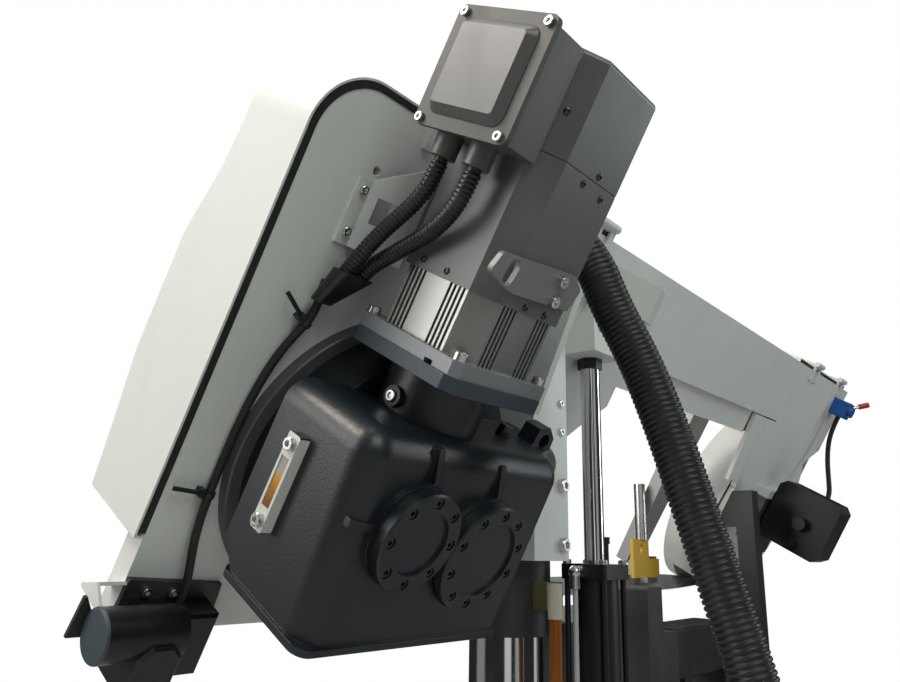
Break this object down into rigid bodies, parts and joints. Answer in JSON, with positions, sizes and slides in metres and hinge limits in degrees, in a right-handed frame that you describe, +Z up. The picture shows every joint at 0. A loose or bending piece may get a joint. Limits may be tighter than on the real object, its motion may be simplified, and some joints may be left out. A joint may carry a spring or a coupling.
{
  "type": "semi-automatic band saw",
  "caption": "Metal-cutting band saw: reclined saw frame with worm gearbox drive, lowered on a chromed column by a hydraulic cylinder over a table with a hydraulic vise.",
  "frame": {"origin": "floor level, middle of the four anchor holes of the base", "axes": "+X along the blade from the drive wheel to the idler wheel, +Y to the front with the console, +Z up"},
  "size_m": [1.9308, 0.9785, 1.6391],
  "materials": {
    "white_paint": "satin powder coat",
    "grey_paint": "satin paint on sheet steel",
    "case_paint": "dark blue-grey paint over a rough casting",
    "ring_paint": "blue-grey paint, edge worn bright",
    "base_paint": "fine textured powder coat",
    "dark_steel": "dark grey paint",
    "steel": "machined steel",
    "blade_steel": "ground band steel",
    "chrome": "hard chrome",
    "aluminium": "die-cast aluminium",
    "bolts": "zinc plated",
    "black_plastic": "matt black",
    "black_paint": "satin black",
    "rubber": "soft black rubber",
    "gauge": "pale moulded frame with an amber window",
    "amber": "translucent amber tube",
    "blue": "blue enamel",
    "red": "red plastic",
    "green": "green plastic",
    "yellow": "yellow paint",
    "console_paint": "textured grey paint"
  },
  "bodies": {
    "base": {"base_cabinet": "base_paint", "work_table": "steel", "guide_bearings": "dark_steel", "lift_cylinder": "black_paint", "lift_fittings": "bolts", "coolant_pipe": "amber", "vise_fixed_jaw": "dark_steel", "vise_cylinder": "black_paint", "control_console": "console_paint", "main_hose": "black_plastic"},
    "head": {"drive_plate": "white_paint", "door_seal": "rubber", "head_beam": "white_paint", "idler_plate": "white_paint", "blade_guards": "white_paint", "saw_blade": "blade_steel", "gearbox_ring": "ring_paint", "gearbox_housing": "case_paint", "bearing_caps": "case_paint", "cap_screws": "bolts", "gearbox_bearings": "steel", "motor_body": "aluminium", "motor_cowl": "grey_paint", "terminal_box": "grey_paint", "terminal_lid": "grey_paint", "lifting_plate": "grey_paint", "oil_gauge": "gauge", "head_screws": "bolts", "carriage": "white_paint", "column_clamp": "dark_steel", "guide_column": "chrome", "guide_post": "black_paint", "lift_rod": "chrome", "motor_conduits": "black_plastic", "harness_clips": "black_plastic", "head_cables": "rubber", "panel_brackets": "white_paint", "brush_motor": "black_paint", "tension_unit": "black_paint", "valve_body": "blue", "fixed_guide": "steel"},
    "drive_door": {"drive_cover": "white_paint"},
    "idler_door": {"idler_cover": "white_paint"},
    "drive_train": {"drive_wheel": "steel", "output_shaft": "steel"},
    "intermediate": {"intermediate_shaft": "steel"},
    "rotor": {"motor_rotor": "steel"},
    "idler_slide": {"idler_carriage": "dark_steel"},
    "idler": {"idler_wheel": "steel"},
    "guide": {"guide_arm": "steel", "arm_bracket": "yellow"},
    "brush": {"brush_wheel": "steel"},
    "lever": {"valve_lever": "red"},
    "jaw": {"vise_jaw": "dark_steel"},
    "drawer": {"chip_drawer": "base_paint"},
    "roller": {"infeed_roller": "steel"},
    "estop": {"estop_button": "red"},
    "start": {"start_button": "green"},
    "stop": {"stop_button": "red"},
    "knob": {"feed_knob": "black_plastic"}
  },
  "joints": [
    {"name": "head_lift", "type": "slide", "parent": "base", "child": "head", "axis": [0, 0, 1], "range_m": [-0.235, 0.03], "deforming": ["main_hose"]},
    {"name": "drive_spin", "type": "hinge", "parent": "head", "child": "drive_train", "pos_m": [-0.701, -0.0482, 1.2422], "axis": [0, -0.866, -0.5], "continuous": true},
    {"name": "intermediate_spin", "type": "hinge", "parent": "head", "child": "intermediate", "pos_m": [-0.80932, -0.0562, 1.25605], "axis": [0, -0.866, -0.5], "continuous": true},
    {"name": "rotor_spin", "type": "hinge", "parent": "head", "child": "rotor", "pos_m": [-0.756, -0.14779, 1.1847], "axis": [0, -0.5, 0.866], "continuous": true},
    {"name": "tension_slide", "type": "slide", "parent": "head", "child": "idler_slide", "axis": [1, 0, 0], "range_m": [-0.01, 0]},
    {"name": "idler_spin", "type": "hinge", "parent": "idler_slide", "child": "idler", "pos_m": [0.701, -0.0482, 1.2422], "axis": [0, -0.866, -0.5], "continuous": true},
    {"name": "guide_arm_slide", "type": "slide", "parent": "head", "child": "guide", "axis": [1, 0, 0], "range_m": [-0.4, 0.02]},
    {"name": "brush_spin", "type": "hinge", "parent": "head", "child": "brush", "pos_m": [-0.861, 0.0528, 1.06726], "axis": [0, -0.866, -0.5], "continuous": true},
    {"name": "valve_lever_turn", "type": "hinge", "parent": "head", "child": "lever", "pos_m": [0.899, -0.23252, 1.52145], "axis": [1, 0, 0], "range_deg": [-40, 50]},
    {"name": "drive_door_open", "type": "hinge", "parent": "head", "child": "drive_door", "pos_m": [-0.701, -0.25166, 1.58661], "axis": [1, 0, 0], "range_deg": [0, 95]},
    {"name": "idler_door_open", "type": "hinge", "parent": "head", "child": "idler_door", "pos_m": [0.701, -0.25166, 1.58661], "axis": [1, 0, 0], "range_deg": [0, 95]},
    {"name": "vise_slide", "type": "slide", "parent": "base", "child": "jaw", "axis": [1, 0, 0], "range_m": [-0.24, 0]},
    {"name": "drawer_slide", "type": "slide", "parent": "base", "child": "drawer", "axis": [0, 1, 0], "range_m": [0, 0.4]},
    {"name": "roller_spin", "type": "hinge", "parent": "base", "child": "roller", "pos_m": [0, -0.25, 0.813], "axis": [1, 0, 0], "continuous": true},
    {"name": "estop_press", "type": "slide", "parent": "base", "child": "estop", "axis": [0, -1, 0], "range_m": [0, 0.005], "stiffness_N_per_m": 900},
    {"name": "start_press", "type": "slide", "parent": "base", "child": "start", "axis": [0, -1, 0], "range_m": [0, 0.004], "stiffness_N_per_m": 700},
    {"name": "stop_press", "type": "slide", "parent": "base", "child": "stop", "axis": [0, -1, 0], "range_m": [0, 0.004], "stiffness_N_per_m": 700},
    {"name": "feed_knob_turn", "type": "hinge", "parent": "base", "child": "knob", "pos_m": [0.5, 0.42, 0.72], "axis": [0, 1, 0], "range_deg": [-135, 135]}
  ],
  "couplings": [
    {"joint": "intermediate_spin", "follows": "drive_spin", "ratio": -3.5625},
    {"joint": "rotor_spin", "follows": "drive_spin", "ratio": 53.438},
    {"joint": "idler_spin", "follows": "drive_spin", "ratio": 1}
  ]
}
